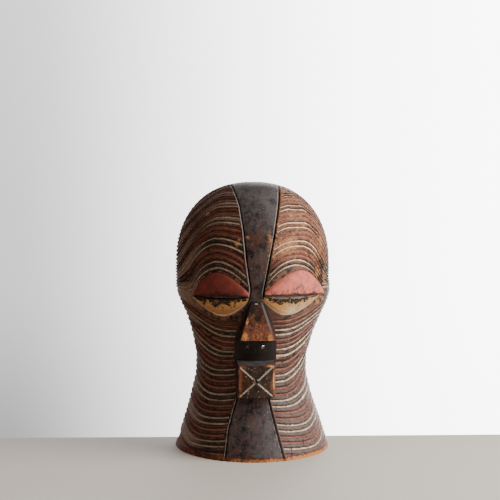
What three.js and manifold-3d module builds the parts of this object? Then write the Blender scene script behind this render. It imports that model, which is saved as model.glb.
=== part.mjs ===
import * as THREE from 'three';
import { mergeVertices } from 'three/addons/utils/BufferGeometryUtils.js';
import Module from 'manifold-3d';

// A wooden mask carved from one block, open at the back and below.
// Millimetres. X runs across the face, the face looks along -Y, Z is up.
// Every level section is half an ellipse that ends on the flat back rim.

// Overall form
const CROWN_START = 255;       // height where the walls turn into the domed crown
const CROWN_RISE = 105;
const CROWN_ARC = 110;         // length of one radian measured over the crown
const HEIGHT = CROWN_START + CROWN_RISE;
const CROWN_SIDE_POWER = 0.82;
const CROWN_FRONT_POWER = 0.62;
const WALL = 13;
const ROOF = 15;

// Half width, front depth and sideways lean of the form, each against height
const HALF_WIDTH = [[0, 105.4], [36, 94.1], [85, 79.8], [114, 76.4], [137, 79.4], [176, 91.6],
  [207, 104.4], [231, 106], [255, 105.8]];
const FRONT_DEPTH = [[0, 142], [36, 129], [85, 113], [114, 108], [137, 109], [176, 115],
  [207, 121], [231, 126], [255, 128]];
const LEAN = [[0, -0.4], [40, -0.8], [95, -1.9], [150, 0], [192, 1.9], [231, 0.3], [260, 0]];

// Half width and middle of the smooth strip down the face, against height
const CENTRE_HALF = [[0, 36.5], [39, 28.7], [75, 19], [80, 21.5], [121, 21.8], [126, 23], [147, 23],
  [156, 21.8], [180, 16], [203, 7], [215, 6.9], [254, 13.4], [296, 19.5], [325, 24], [352, 30], [360, 32]];
const CENTRE_PLACE = [[0, -2.4], [39, -5], [75, -4.3], [80, 0], [203, 0], [215, 1.6], [254, 2.4],
  [290, 4.3], [325, 4.8], [352, 2.4], [360, 1.5]];

// Channels beside the centre band and the chin panel
const CHANNEL_WIDTH = 3.2;
const CHANNEL_DEPTH = 2.6;
const BAND_FOOT = 206;
const CHIN_TOP = 78;

// Carved lines: below the eyes they hang, above the eyes they arch. Side -1 is the mask's right cheek.
const LOWER_LINES = 24;
const LOWER_PLACES = {
  '-1': [[-1, 8], [0, 14.6], [5, 49], [11, 96], [17, 137], [21, 165], [23, 176.5], [24, 181.5]],
  1: [[-1, -0.5], [0, 4], [6, 48.8], [11, 91], [17, 141], [20, 161], [23, 178.5], [24, 183.5]],
};
const LOWER_HANG = { '-1': { from: 12, over: 6 }, 1: { from: 6.5, over: 4 } };
const UPPER_LINES = 26;
const ARCHES = {
  '-1': { start: 0.28, shift: -0.006, corner: 0.22, across: 0.345, end: 0.86, open: 0.01, inner: 28, hook: 0 },
  1: { start: 0.28, shift: 0.006, corner: 0.24, across: 0.38, end: 0.85, open: 0.04, inner: 22, hook: 6 },
};
const ARCH_PEAKS = {
  '-1': [[-1, 235.5], [0, 244.5], [4, 275.5], [9, 315.6], [17, 365.4], [26, 407]],
  1: [[-1, 240.7], [0, 247.5], [4, 272], [9, 307], [13, 336.5], [17, 361], [26, 419]],
};
const ARCH_DROPS = {
  '-1': [[0, 30], [9, 64], [18, 66], [25, 40]],
  1: [[0, 30], [9, 60], [13, 47], [25, 20]],
};
const BROW_MIDDLE = 51;
const LINE_DEPTH = 2.2;
const GROOVE_SHARE = 0.28;     // half width of a groove as a share of the pitch
const PLAIN_FOOT = 5;

// Eyes: ends of the slit, and the tops and ends of the two lids, measured across from the middle
const SLIT_OPEN = 3;
const SLIT_RISE = 0.35;
const EYES = {
  '-1': { slit: 207, near: 21, far: 75, apex: 47.5, inner: 37, outer: 33.5,
    low: 42, lowInner: 33, lowOuter: 40.5 },
  1: { slit: 209, near: 18, far: 81, apex: 54.8, inner: 44.8, outer: 36,
    low: 36.5, lowInner: 29.5, lowOuter: 47 },
};
const UPPER_LID = 31;
const LOWER_LID = 25.5;
const UPPER_BULGE = 6;
const LOWER_BULGE = 3.4;
const LID_SHARES = [-1, -0.6, -0.15, 0.15, 0.5, 0.8, 1];
const CROWN_SHARES = [0.22, 0.42, 0.6, 0.76, 0.9];

// Nose, nostrils, mouth
const NOSE = { top: 199, foot: 152.5, topHalf: 5.8, footHalf: 20.5, rootHalf: 23.6, tip: 139 };
const MOUTH_REACH = 0.9;
const TIDY_EDGE = 0.04;        // slivers shorter than this are merged away
const NOSTRIL = { height: 142, apart: 10, across: 4.4, fall: -0.18 };
const MOUTH = { foot: 80, top: 120.3, half: 22.6, edge: 132, peak: 137, cut: 2.6, cutDepth: 1.4 };

const clamp = (x, low = 0, high = 1) => Math.min(high, Math.max(low, x));
const smooth = (x) => clamp(x) ** 2 * (3 - 2 * clamp(x));

// A smooth curve through a short table of pairs
function tableCurve(table) {
  const slope = (i) => {
    const a = table[Math.max(0, i - 1)];
    const b = table[Math.min(table.length - 1, i + 1)];
    return (b[1] - a[1]) / (b[0] - a[0]);
  };
  return (x) => {
    let i = 0;
    while (i < table.length - 2 && x > table[i + 1][0]) i += 1;
    const [x0, y0] = table[i];
    const [x1, y1] = table[i + 1];
    const span = x1 - x0;
    const t = clamp((x - x0) / span);
    const a = y0 + (t * slope(i) * span);
    const b = y1 - ((1 - t) * slope(i + 1) * span);
    return a + (b - a) * smooth(t);
  };
}

function tableLine(table) {
  return (x) => {
    let i = 0;
    while (i < table.length - 2 && x > table[i + 1][0]) i += 1;
    const [x0, y0] = table[i];
    const [x1, y1] = table[i + 1];
    return y0 + (y1 - y0) * clamp((x - x0) / (x1 - x0));
  };
}

const wallHalf = tableCurve(HALF_WIDTH);
const wallDepth = tableCurve(FRONT_DEPTH);
const lean = tableCurve(LEAN);
const centreHalf = tableLine(CENTRE_HALF);
const centrePlace = tableLine(CENTRE_PLACE);
const lowerPlace = { '-1': tableLine(LOWER_PLACES[-1]), 1: tableLine(LOWER_PLACES[1]) };
const archPeak = { '-1': tableLine(ARCH_PEAKS[-1]), 1: tableLine(ARCH_PEAKS[1]) };
const archDrop = { '-1': tableLine(ARCH_DROPS[-1]), 1: tableLine(ARCH_DROPS[1]) };

// Section of the form at a distance measured up the front and over the crown
function section(run, inset = 0, roof = 0) {
  if (run <= CROWN_START) {
    return { half: wallHalf(run) - inset, depth: wallDepth(run) - inset, z: run };
  }
  const angle = Math.min(Math.PI / 2, (run - CROWN_START) / CROWN_ARC);
  const c = Math.max(0, Math.cos(angle));
  return {
    half: (wallHalf(CROWN_START) - inset) * c ** CROWN_SIDE_POWER,
    depth: (wallDepth(CROWN_START) - inset) * c ** CROWN_FRONT_POWER,
    z: CROWN_START + (CROWN_RISE - roof) * Math.sin(angle),
  };
}
const RUN_END = CROWN_START + CROWN_ARC * Math.PI / 2;

function formPoint(run, turn) {
  const s = section(run);
  return new THREE.Vector3(s.half * Math.sin(turn), -s.depth * Math.cos(turn), s.z);
}

function formNormal(run, turn) {
  const e = 0.01;
  const along = formPoint(run, turn + e).sub(formPoint(run, turn - e));
  const up = formPoint(run + 0.5, turn).sub(formPoint(run - 0.5, turn));
  return along.cross(up).normalize();
}

// Position of lower line k and upper line j at a share s of the way from centre to back rim
function lowerLine(k, s, side) {
  const late = clamp((k - LOWER_HANG[side].from) / LOWER_HANG[side].over);
  const start = 0.33 - 0.2 * late + 0.1 * clamp(1 - k / 4);
  const width = 1 - start - 0.07 * late;
  const dip = 3.5 * (1 - late) * clamp(1 - s / start) ** 2;
  const bend = smooth((s - start) / width) - smooth((0.3 - start) / width);
  return lowerPlace[side](k) + dip + (15 + 13 * late) * bend;
}

function upperLine(j, s, side) {
  const arch = ARCHES[side];
  const across = Math.sin(0.12 + 1.45 * s) - BROW_MIDDLE / 105.6;
  const inner = arch.inner * clamp(1 - j / 11) ** 1.5 * clamp(-across / 0.38) ** 2;
  const start = arch.start + arch.shift * j;
  const end = Math.min(1, arch.end + arch.open * Math.max(0, j - 5));
  const wide = smooth((s - start) / (end - start));
  const round = clamp((s - arch.corner) / arch.across) ** 2.1;
  const open = clamp(j / 5);
  const hook = arch.hook * clamp(1 - s / 0.15) ** 2;
  return archPeak[side](j) - inner - hook - archDrop[side](j) * ((1 - open) * round + open * wide);
}

// Share of the full height that a lid has at a distance across the face
function lidOpen(x, upper, side) {
  const eye = EYES[side];
  if (!upper && x < eye.low) return clamp(1 - ((eye.low - x) / eye.lowInner) ** 2.6);
  if (!upper) return clamp(1 - ((x - eye.low) / eye.lowOuter) ** 2);
  if (x < eye.apex) return clamp(1 - clamp((eye.apex - x) / eye.inner) ** 1.7);
  return clamp(1 - clamp((x - eye.apex) / eye.outer) ** 2.2);
}

function lidBulge(x, z, side) {
  const { slit } = EYES[side];
  const upper = z >= slit;
  const open = lidOpen(x, upper, side);
  if (open <= 0) return 0;
  const t = Math.abs(z - slit) / (open * (upper ? UPPER_LID : LOWER_LID));
  return (upper ? UPPER_BULGE : LOWER_BULGE) * Math.sqrt(open) * clamp(1 - t * t) ** 0.7;
}

// Turn from the middle of the face at a distance across it, and the field between centre and rim
const turnAt = (x, half) => Math.asin(Math.min(0.985, x / Math.max(half, 0.1)));

const centreEdge = (z, side) => centreHalf(z) + side * (centrePlace(z) - lean(z));

function fieldTurn({ half, z }, s, side) {
  const start = turnAt(centreEdge(z, side) + CHANNEL_WIDTH, half);
  return start + s * (Math.PI / 2 - start);
}

// Three rows make one groove: lip, bottom and lip
const grooveRows = (line, n) => [-GROOVE_SHARE, 0, GROOVE_SHARE].map((step) => (
  { kind: step === 0 ? 'line' : 'plain', at: (s, side) => line(n + step, s, side) }));

// Height of a lid row: the slit's height and a share of the lid, kept between the lines around it
function lidRun(share, s, side) {
  const eye = EYES[side];
  const across = section(eye.slit).half * Math.sin(fieldTurn(section(eye.slit), s, side));
  const open = lidOpen(Math.max(across, share < 0 ? eye.low - 0.98 * eye.lowInner
    : eye.apex - 0.98 * eye.inner), share > 0, side);
  const room = share < 0 ? eye.slit - lowerLine(LOWER_LINES - 1, s, side) : upperLine(0, s, side) - eye.slit;
  const most = share < 0 ? LOWER_LID : UPPER_LID;
  return eye.slit + share * Math.min(most * open + 3 * (1 - open), room - 1.5);
}

// Rows of the skin from foot to crown: each gives a run for a share s, and a kind
function skinRows() {
  const rows = [{ kind: 'plain', at: () => 0 }];
  for (let k = 0; k < LOWER_LINES; k += 1) rows.push(...grooveRows(lowerLine, k));
  for (const share of LID_SHARES) rows.push({ kind: 'lid', at: (s, side) => lidRun(share, s, side) });
  for (let j = 0; j < UPPER_LINES; j += 1) rows.push(...grooveRows(upperLine, j));
  const last = (s, side) => upperLine(UPPER_LINES - 0.5, s, side);
  for (const share of CROWN_SHARES) {
    rows.push({ kind: 'plain', at: (s, side) => last(s, side) * (1 - share) + RUN_END * share });
  }
  return rows;
}

// Columns of one side, from the middle of the face to the back rim
const SHARES = [0, 0.07, 0.16, 0.26, 0.37, 0.49, 0.62, 0.75, 0.88, 1];
const COLUMNS = [{ centre: 0 }, { centre: 0.5 }, { centre: 1 }, { channel: true },
  ...SHARES.map((share) => ({ share }))];

function skinPoint(row, column, side) {
  const s = column.share ?? 0;
  const run = row.at(s, side);
  const level = section(run);
  const { half, z } = level;
  const edge = centreEdge(z, side);
  let turn = fieldTurn(level, s, side);
  let out = 0;
  if (column.centre !== undefined) turn = column.centre * turnAt(edge, half);
  if (column.channel) {
    turn = turnAt(edge + CHANNEL_WIDTH / 2, half);
    if ((z > BAND_FOOT || z < CHIN_TOP) && turn < 1.3) out = -CHANNEL_DEPTH;
  }
  const point = formPoint(run, turn);
  if (column.share !== undefined) {
    const room = clamp((half * (Math.PI / 2 - fieldTurn(level, 0, side)) - 6) / 12);
    if (row.kind === 'line' && run > PLAIN_FOOT) out = -LINE_DEPTH * room * (s === 0 ? 0.6 : 1);
    if (row.kind === 'lid') out = lidBulge(point.x, z, side);
  }
  point.addScaledVector(formNormal(run, turn), out);
  if (s === 1) point.y = 0;
  if (run === 0) point.z = 0;
  point.x = point.x * side + lean(z);
  return point;
}

// Closed body from a grid of points, with its flat back and foot and a point at the crown
function closedBody(grid, crown) {
  const points = grid.flat();
  const wide = grid[0].length;
  const triangles = [];
  const quad = (a, b, c, d) => triangles.push(a, b, c, a, c, d);
  for (let r = 0; r + 1 < grid.length; r += 1) {
    for (let c = 0; c + 1 < wide; c += 1) {
      const a = r * wide + c;
      quad(a, a + 1, a + wide + 1, a + wide);
    }
    quad(r * wide + wide - 1, r * wide, (r + 1) * wide, (r + 1) * wide + wide - 1);
  }
  for (let c = 0; c < (wide - 1) / 2; c += 1) {
    quad(c + 1, c, wide - 1 - c, wide - 2 - c);
  }
  const top = points.length;
  const last = (grid.length - 1) * wide;
  for (let c = 0; c < wide; c += 1) {
    triangles.push(last + c, last + ((c + 1) % wide), top);
  }
  return geometryOf([...points, crown], triangles);
}

function geometryOf(points, triangles) {
  const geometry = new THREE.BufferGeometry();
  const flat = points.flatMap((p) => [p.x, p.y, p.z]);
  geometry.setAttribute('position', new THREE.Float32BufferAttribute(flat, 3));
  geometry.setIndex(triangles);
  return geometry;
}

function outerBody() {
  const sides = [...COLUMNS.slice(1).reverse().map((column) => [column, -1]),
    ...COLUMNS.map((column) => [column, 1])];
  const grid = skinRows().map((row) => sides.map(([column, side]) => skinPoint(row, column, side)));
  return closedBody(grid, new THREE.Vector3(0, 0, HEIGHT));
}

function hollowBody() {
  const runs = [-8, 20, 50, 85, 114, 140, 170, 205, 235, 258, 280, 302, 324, 346, 368, 390, 410];
  const turns = Array.from({ length: 15 }, (_, i) => (i / 14 - 0.5) * Math.PI);
  const grid = runs.map((run) => {
    const s = section(Math.max(run, 0), WALL, ROOF);
    const z = run < 0 ? run : s.z;
    const at = (across, y) => new THREE.Vector3(lean(s.z) + across, y, z);
    const round = turns.map((t) => at(s.half * Math.sin(t), -s.depth * Math.cos(t)));
    return [at(-s.half, 6), ...round, at(s.half, 6)];
  });
  return closedBody(grid, new THREE.Vector3(0, 3, HEIGHT - ROOF));
}

// Six-sided block between two four-cornered faces, corners in the same turning order
function block(back, front) {
  const points = [...back, ...front].map((p) => new THREE.Vector3(...p));
  const triangles = [0, 2, 1, 0, 3, 2, 4, 5, 6, 4, 6, 7];
  for (let i = 0; i < 4; i += 1) {
    const j = (i + 1) % 4;
    triangles.push(i, j + 4, i + 4, i, j, j + 4);
  }
  return geometryOf(points, triangles);
}

const face = (lowHalf, highHalf, low, high, lowY, highY) => [
  [-lowHalf, lowY, low], [lowHalf, lowY, low], [highHalf, highY, high], [-highHalf, highY, high]];

function noseBlock() {
  const { top, foot, topHalf, footHalf, rootHalf, tip } = NOSE;
  const faceAt = (z) => -wallDepth(z);
  return block(
    face(rootHalf + 2, topHalf + 4, foot - 2.7, top + 3, faceAt(foot) + 6, faceAt(top) + 6),
    face(footHalf, topHalf, foot, top, -tip, faceAt(top) - 2),
  );
}

function mouthBlock() {
  const { foot, top, half, edge, peak } = MOUTH;
  const back = -wallDepth(top) + 8;
  const middle = (foot + top) / 2;
  const corners = face(half, half, foot, top, -edge, -edge);
  const root = face(half + 1.5, half + 1.5, foot - 1, top + 4.5, back, back);
  const points = [...root, ...corners, [0, -peak, middle]].map((p) => new THREE.Vector3(...p));
  const triangles = [0, 2, 1, 0, 3, 2];
  for (let i = 0; i < 4; i += 1) {
    const j = (i + 1) % 4;
    triangles.push(i, j + 4, i + 4, i, j, j + 4, i + 4, j + 4, 8);
  }
  return geometryOf(points, triangles);
}

// Closed cutter through a row of four-cornered sections, first and last one capped
function cutterThrough(sections) {
  const points = sections.flat();
  const last = points.length - 4;
  const triangles = [0, 1, 2, 0, 2, 3, last, last + 2, last + 1, last, last + 3, last + 2];
  for (let step = 0; step < last; step += 4) {
    for (let i = 0; i < 4; i += 1) {
      const [p, q] = [step + i, step + (i + 1) % 4];
      triangles.push(p, p + 4, q + 4, p, q + 4, q);
    }
  }
  return geometryOf(points, triangles);
}

// Shallow cut along one diagonal of the mouth, over its peak
function mouthCut(side) {
  const { foot, top, half, edge, peak, cut, cutDepth } = MOUTH;
  const middle = (foot + top) / 2;
  const rise = (top - foot) / 2;
  const across = new THREE.Vector3(-rise, 0, side * half).setLength(cut / 2);
  return cutterThrough([-MOUTH_REACH, 0, MOUTH_REACH].map((share) => {
    const y = -peak + (peak - edge) * Math.abs(share);
    const spine = new THREE.Vector3(side * half * share, y, middle + rise * share);
    return [[-1, -3], [1, -3], [1, cutDepth], [-1, cutDepth]].map(([turn, depth]) => (
      spine.clone().addScaledVector(across, turn).add(new THREE.Vector3(0, depth, 0))));
  }));
}

// Eye slit through the wall, rising inwards so that it stays dark
function slitCut(side) {
  const { slit, near, far } = EYES[side];
  const { half, depth } = section(slit);
  const ends = [near, far].map((x) => turnAt(x, half));
  return cutterThrough([0, 1, 2, 3, 4, 5].map((step) => {
    const share = side > 0 ? 1 - step / 5 : step / 5;
    const turn = ends[0] + (ends[1] - ends[0]) * share;
    return [[12, -1], [-26, -1], [-26, 1], [12, 1]].map(([out, up]) => new THREE.Vector3(
      side * (half + out) * Math.sin(turn) + lean(slit),
      -(depth + out) * Math.cos(turn),
      slit - SLIT_RISE * out + up * SLIT_OPEN / 2,
    ));
  }));
}

function nostrilCut(side) {
  const radius = NOSTRIL.across / 2;
  const geometry = new THREE.CylinderGeometry(radius, radius, 60, 10);
  geometry.translate(side * NOSTRIL.apart, -100, 0);
  geometry.rotateX(-NOSTRIL.fall);
  geometry.translate(0, 0, NOSTRIL.height - 108 * NOSTRIL.fall);
  return geometry;
}

const wasm = await Module();
wasm.setup();

function solid(geometry) {
  const bare = geometry.clone();
  bare.deleteAttribute('normal');
  bare.deleteAttribute('uv');
  const merged = mergeVertices(bare, 1e-4);
  return new wasm.Manifold(new wasm.Mesh({
    numProp: 3,
    vertProperties: new Float32Array(merged.attributes.position.array),
    triVerts: new Uint32Array(merged.index.array),
  }));
}

function meshOf(body, material, name) {
  const data = body.getMesh();
  const geometry = new THREE.BufferGeometry();
  geometry.setAttribute('position', new THREE.Float32BufferAttribute(data.vertProperties, 3));
  geometry.setIndex(new THREE.Uint32BufferAttribute(data.triVerts, 1));
  const mesh = new THREE.Mesh(geometry, material);
  mesh.name = name;
  return mesh;
}

function carvedMask() {
  let body = solid(outerBody()).add(solid(noseBlock())).add(solid(mouthBlock()));
  body = body.subtract(solid(hollowBody()));
  const cuts = [mouthCut(-1), mouthCut(1), slitCut(-1), slitCut(1), nostrilCut(-1), nostrilCut(1)];
  for (const cut of cuts) body = body.subtract(solid(cut));
  return body.simplify(TIDY_EDGE);
}

const paintedWood = new THREE.MeshStandardMaterial({ color: 0x3a241c, roughness: 0.72, metalness: 0 });
const mask = meshOf(carvedMask(), paintedWood, 'carved_mask');
mask.geometry.computeBoundingBox();
const { min, max } = mask.geometry.boundingBox;
mask.geometry.translate(-(min.x + max.x) / 2, -(min.y + max.y) / 2, -min.z);

const group = new THREE.Group();
group.name = 'kifwebe_mask';
group.add(mask);
export default group;
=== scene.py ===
import math

import bpy
import numpy as np
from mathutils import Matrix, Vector


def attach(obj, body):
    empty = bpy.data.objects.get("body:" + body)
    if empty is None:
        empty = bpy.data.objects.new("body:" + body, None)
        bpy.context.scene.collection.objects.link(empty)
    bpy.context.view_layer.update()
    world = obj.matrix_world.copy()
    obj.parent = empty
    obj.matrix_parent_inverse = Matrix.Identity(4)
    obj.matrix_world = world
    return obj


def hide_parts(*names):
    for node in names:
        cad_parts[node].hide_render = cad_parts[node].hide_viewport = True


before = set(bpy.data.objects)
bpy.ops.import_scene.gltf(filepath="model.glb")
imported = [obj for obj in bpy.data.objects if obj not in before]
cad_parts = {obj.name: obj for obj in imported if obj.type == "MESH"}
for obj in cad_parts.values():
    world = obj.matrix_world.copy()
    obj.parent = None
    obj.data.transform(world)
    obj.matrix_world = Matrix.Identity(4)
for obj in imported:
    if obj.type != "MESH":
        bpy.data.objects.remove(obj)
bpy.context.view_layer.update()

# Camera: level, at three quarters of the mask's height
CAMERA_LENS = 74.95            # millimetres
CAMERA_SENSOR = 36.0
CAMERA_TURN = math.radians(2.3)
CAMERA_AWAY = 1.445            # metres from the flat back rim
CAMERA_ASIDE = 0.0030
CAMERA_HEIGHT = 0.2665

# Where the form stands in the frame, in metres
RIM_PLACE = 0.071              # the back rim along Y
SIDE_PLACE = -0.000738         # the middle of the leaning form along X

# Form, in millimetres, as in the solid: the rim is at y = 0 here and the face looks along -Y
CROWN_START = 255.0
CROWN_RISE = 105.0
CROWN_ARC = 110.0
HEIGHT = CROWN_START + CROWN_RISE
CROWN_SIDE_POWER = 0.82
CROWN_FRONT_POWER = 0.62
RUN_END = CROWN_START + CROWN_ARC * math.pi / 2
WALL = 13.0
ROOF = 15.0
HALF_WIDTH = [(0, 105.4), (36, 94.1), (85, 79.8), (114, 76.4), (137, 79.4), (176, 91.6),
              (207, 104.4), (231, 106), (255, 105.8)]
FRONT_DEPTH = [(0, 142), (36, 129), (85, 113), (114, 108), (137, 109), (176, 115),
               (207, 121), (231, 126), (255, 128)]
LEAN = [(0, -0.4), (40, -0.8), (95, -1.9), (150, 0), (192, 1.9), (231, 0.3), (260, 0)]
CENTRE_HALF = [(0, 36.5), (39, 28.7), (75, 19), (80, 21.5), (121, 21.8), (126, 23), (147, 23),
               (156, 21.8), (180, 16), (203, 7), (215, 6.9), (254, 13.4), (296, 19.5), (325, 24),
               (352, 30), (360, 32)]
CENTRE_PLACE = [(0, -2.4), (39, -5), (75, -4.3), (80, 0), (203, 0), (215, 1.6), (254, 2.4),
                (290, 4.3), (325, 4.8), (352, 2.4), (360, 1.5)]
CHANNEL_WIDTH = 3.2
CHANNEL_DEPTH = 2.6
BAND_FOOT = 206.0
CHIN_TOP = 78.0

# Carved lines: side -1 is the left of the picture, side 1 its right
LOWER_LINES = 24
LOWER_PLACES = {-1: [(-1, 8), (0, 14.6), (5, 49), (11, 96), (17, 137), (21, 165), (23, 176.5),
                     (24, 181.5)],
                1: [(-1, -0.5), (0, 4), (6, 48.8), (11, 91), (17, 141), (20, 161), (23, 178.5),
                    (24, 183.5)]}
LOWER_HANG = {-1: (12, 6), 1: (6.5, 4)}
UPPER_LINES = 26
ARCHES = {-1: dict(start=0.28, shift=-0.006, corner=0.22, across=0.345,
                   end=0.86, open=0.01, inner=28, hook=0),
          1: dict(start=0.28, shift=0.006, corner=0.24, across=0.38,
                  end=0.85, open=0.04, inner=22, hook=6)}
ARCH_PEAKS = {-1: [(-1, 235.5), (0, 244.5), (4, 275.5), (9, 315.6), (17, 365.4), (26, 407)],
              1: [(-1, 240.7), (0, 247.5), (4, 272), (9, 307), (13, 336.5), (17, 361), (26, 419)]}
ARCH_DROPS = {-1: [(0, 30), (9, 64), (18, 66), (25, 40)], 1: [(0, 30), (9, 60), (13, 47), (25, 20)]}
BROW_MIDDLE = 51.0
LINE_DEPTH = 2.2
LINE_WIDTH = {-1: 0.25, 1: 0.22}       # half width of a groove as a share of the pitch
RIDGE_ROUND = 0.7
LINE_DRIFT = {"lower": 0.5, "upper": 0.45}
PLAIN_FOOT = (4.5, 8.5)                # the lines fade in between these heights
ROWS_A_LINE = 7
NO_LINE, NO_LID = 0.5, 9               # numbers of rows that are on no line and on no lid
UPPER_FROM = 100                       # upper lines are numbered from here
CROWN_SHARES = (0.12, 0.25, 0.4, 0.55, 0.7, 0.82, 0.92)
MOST_OUT = 5.9
HAND_RIPPLE = 0.12                     # unevenness that the carver's hand leaves

# Eyes: ends of the slit, and the tops and ends of the two lids, measured across from the middle
SLIT_OPEN = 2.6
SLIT_RISE = 0.35
SLIT_OUT, SLIT_IN = 12, -26            # reach of the cut outside and inside the surface
SLIT_SECTIONS = 15
EYES = {-1: dict(slit=207, near=21, far=75, apex=47.5, inner=37, outer=33.5,
                 low=42, low_inner=33, low_outer=40.5),
        1: dict(slit=209, near=18, far=81, apex=54.8, inner=44.8, outer=36,
                low=36.5, low_inner=29.5, low_outer=47)}
UPPER_LID = 31.0
LOWER_LID = 25.5
UPPER_BULGE = 6.0
LOWER_BULGE = 3.4
CREASE_DEPTH = 2.2
LID_EDGE_DEPTH = 0.7

# Nose and mouth
NOSE_TOP, NOSE_FOOT, NOSE_TIP = 199.0, 152.5, 139.0
NOSE_TOP_HALF, NOSE_FOOT_HALF, NOSE_ROOT_HALF = 5.8, 20.5, 23.6
NOSE_SPREAD = (NOSE_FOOT_HALF - NOSE_TOP_HALF) / (NOSE_TOP - NOSE_FOOT)
NICK_PLACE = (-0.0005, 0.1978)         # pale nick on the bridge of the nose, in metres
NOSTRIL_HEIGHT, NOSTRIL_APART, NOSTRIL_ACROSS = 142.0, 10.0, 4.4
NOSTRIL_REACH = (-125.0, -75.0)
NOSTRIL_MIDDLE = 108
NOSTRIL_FALL = {-1: -0.25, 1: -0.13}
NOSTRIL_WIDEN = {-1: 0.0, 1: 0.35}
MOUTH_FOOT, MOUTH_TOP, MOUTH_HALF = 80.0, 120.3, 22.6
MOUTH_EDGE, MOUTH_PEAK, MOUTH_CUT = 132.0, 137.0, 1.4

# Short cracks at the foot, in metres: across, lower end, upper end
FOOT_CRACKS = [(0.0610, 0.010, 0.027), (0.0450, 0.005, 0.017)]

# Worn places seen from the front: across, height, half width, half height, strength
BAND_WEAR = [(17.5, 279, 3.5, 12, 1.0), (15.5, 262, 2.2, 12, 0.75), (-11.2, 283, 2.6, 2.6, 0.95),
             (2, 297, 2.5, 3, 0.6), (-18, 354.5, 4, 2, 1.0), (8.5, 199, 2.5, 6, 0.8)]
EYE_CORNER_WEAR = [(87, 211, 5, 5, 1.0), (83, 238, 7, 14, 0.7), (88, 203, 8, 7, 0.7), (84, 199, 7, 6, 0.8),
                   (95, 228, 8, 22, 0.62), (-95, 213, 9, 7, 0.6)]
BROW_WEAR = [(-24, 275, 5, 8, 0.72), (-60, 313, 7, 4, 0.6), (39, 273, 20, 20, 0.72), (88, 277, 6, 16, 0.7),
             (50, 312, 16, 8, 0.6), (-42, 296, 12, 5, 0.5), (60, 300, 14, 6, 0.5), (30, 300, 9, 6, 0.55),
             (-60, 262, 9, 5, 0.4)]
CHEEK_WEAR = [(30, 128, 5, 3, 0.6), (-38, 140, 6, 4, 0.5)]
SKIN_WEAR = BAND_WEAR + EYE_CORNER_WEAR + BROW_WEAR + CHEEK_WEAR
NOSE_WEAR = [(-14.5, 158, 4.5, 9, 1.0), (-11.5, 174, 3, 12, 0.8), (17, 156.5, 3.5, 7, 1.0),
             (2, 160, 13, 12, 0.5), (7, 178, 3, 8, 0.45)]
MOUTH_WEAR = [(-20.5, 100, 2.6, 22, 0.75), (22.6, 101, 2.6, 19, 1.15), (19.5, 97, 3, 14, 0.5),
              (18, 119.6, 7, 2.2, 1.0), (-17, 119, 6, 1.8, 0.65), (-21, 82, 4, 4, 0.7)]


def unit(x):
    return np.clip(x, 0, 1)


def smooth(x):
    x = unit(x)
    return x * x * (3 - 2 * x)


def step(x, low, high):
    return smooth((x - low) / (high - low))


def table_curve(table):
    xs, ys = np.array(table, float).T
    last = len(xs) - 1
    slopes = np.array([(ys[min(i + 1, last)] - ys[max(i - 1, 0)])
                       / (xs[min(i + 1, last)] - xs[max(i - 1, 0)]) for i in range(last + 1)])

    def curve(x):
        i = np.clip(np.searchsorted(xs, x, side="right") - 1, 0, last - 1)
        span = xs[i + 1] - xs[i]
        t = unit((x - xs[i]) / span)
        a = ys[i] + t * slopes[i] * span
        b = ys[i + 1] - (1 - t) * slopes[i + 1] * span
        return a + (b - a) * smooth(t)
    return curve


wall_half = table_curve(HALF_WIDTH)
wall_depth = table_curve(FRONT_DEPTH)
lean = table_curve(LEAN)


def table_line(table, x):
    xs, ys = np.array(table, float).T
    return np.interp(x, xs, ys)


def centre_edge(z, side):
    return table_line(CENTRE_HALF, z) + side * (table_line(CENTRE_PLACE, z) - lean(z))


def section(run, inset=0.0, roof=0.0):
    low = np.minimum(run, CROWN_START)
    angle = np.clip((run - CROWN_START) / CROWN_ARC, 0, math.pi / 2)
    c = np.maximum(np.cos(angle), 0)
    half = (wall_half(low) - inset) * c ** CROWN_SIDE_POWER
    depth = (wall_depth(low) - inset) * c ** CROWN_FRONT_POWER
    return half, depth, low + (CROWN_RISE - roof) * np.sin(angle)


def form_point(run, turn):
    half, depth, z = section(run)
    return np.stack([half * np.sin(turn), -depth * np.cos(turn), z], -1)


def form_normal(run, turn):
    along = form_point(run, turn + 0.01) - form_point(run, turn - 0.01)
    up = form_point(run + 0.5, turn) - form_point(run - 0.5, turn)
    normal = np.cross(along, up)
    return normal / np.maximum(np.linalg.norm(normal, axis=-1, keepdims=True), 1e-9)


def ripple(a, b, seed, waves=6, reach=3.0):
    """A slow uneven wave over two coordinates, the same on every run."""
    draw = np.random.default_rng(seed)
    total = 0
    for _ in range(waves):
        u, v, phase = draw.uniform(-reach, reach), draw.uniform(-reach, reach), draw.uniform(0, 6.28)
        total = total + np.sin(a * u + b * v + phase)
    return total / math.sqrt(waves)


def worn_places(x, z, places):
    """How far the paint is rubbed off at each point, 0 to 1."""
    worn = 0 * x
    for across, height, half_wide, half_high, strength in places:
        near = np.exp(-((x - across) / half_wide) ** 2 - ((z - height) / half_high) ** 2)
        worn = np.maximum(worn, strength * near)
    return worn


def lower_line(k, s, side):
    begin, over = LOWER_HANG[side]
    late = unit((k - begin) / over)
    start = 0.33 - 0.2 * late + 0.1 * unit(1 - k / 4)
    width = 1 - start - 0.07 * late
    dip = 3.5 * (1 - late) * unit(1 - s / start) ** 2
    bend = smooth((s - start) / width) - smooth((0.3 - start) / width)
    return table_line(LOWER_PLACES[side], k) + dip + (15 + 13 * late) * bend


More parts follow.
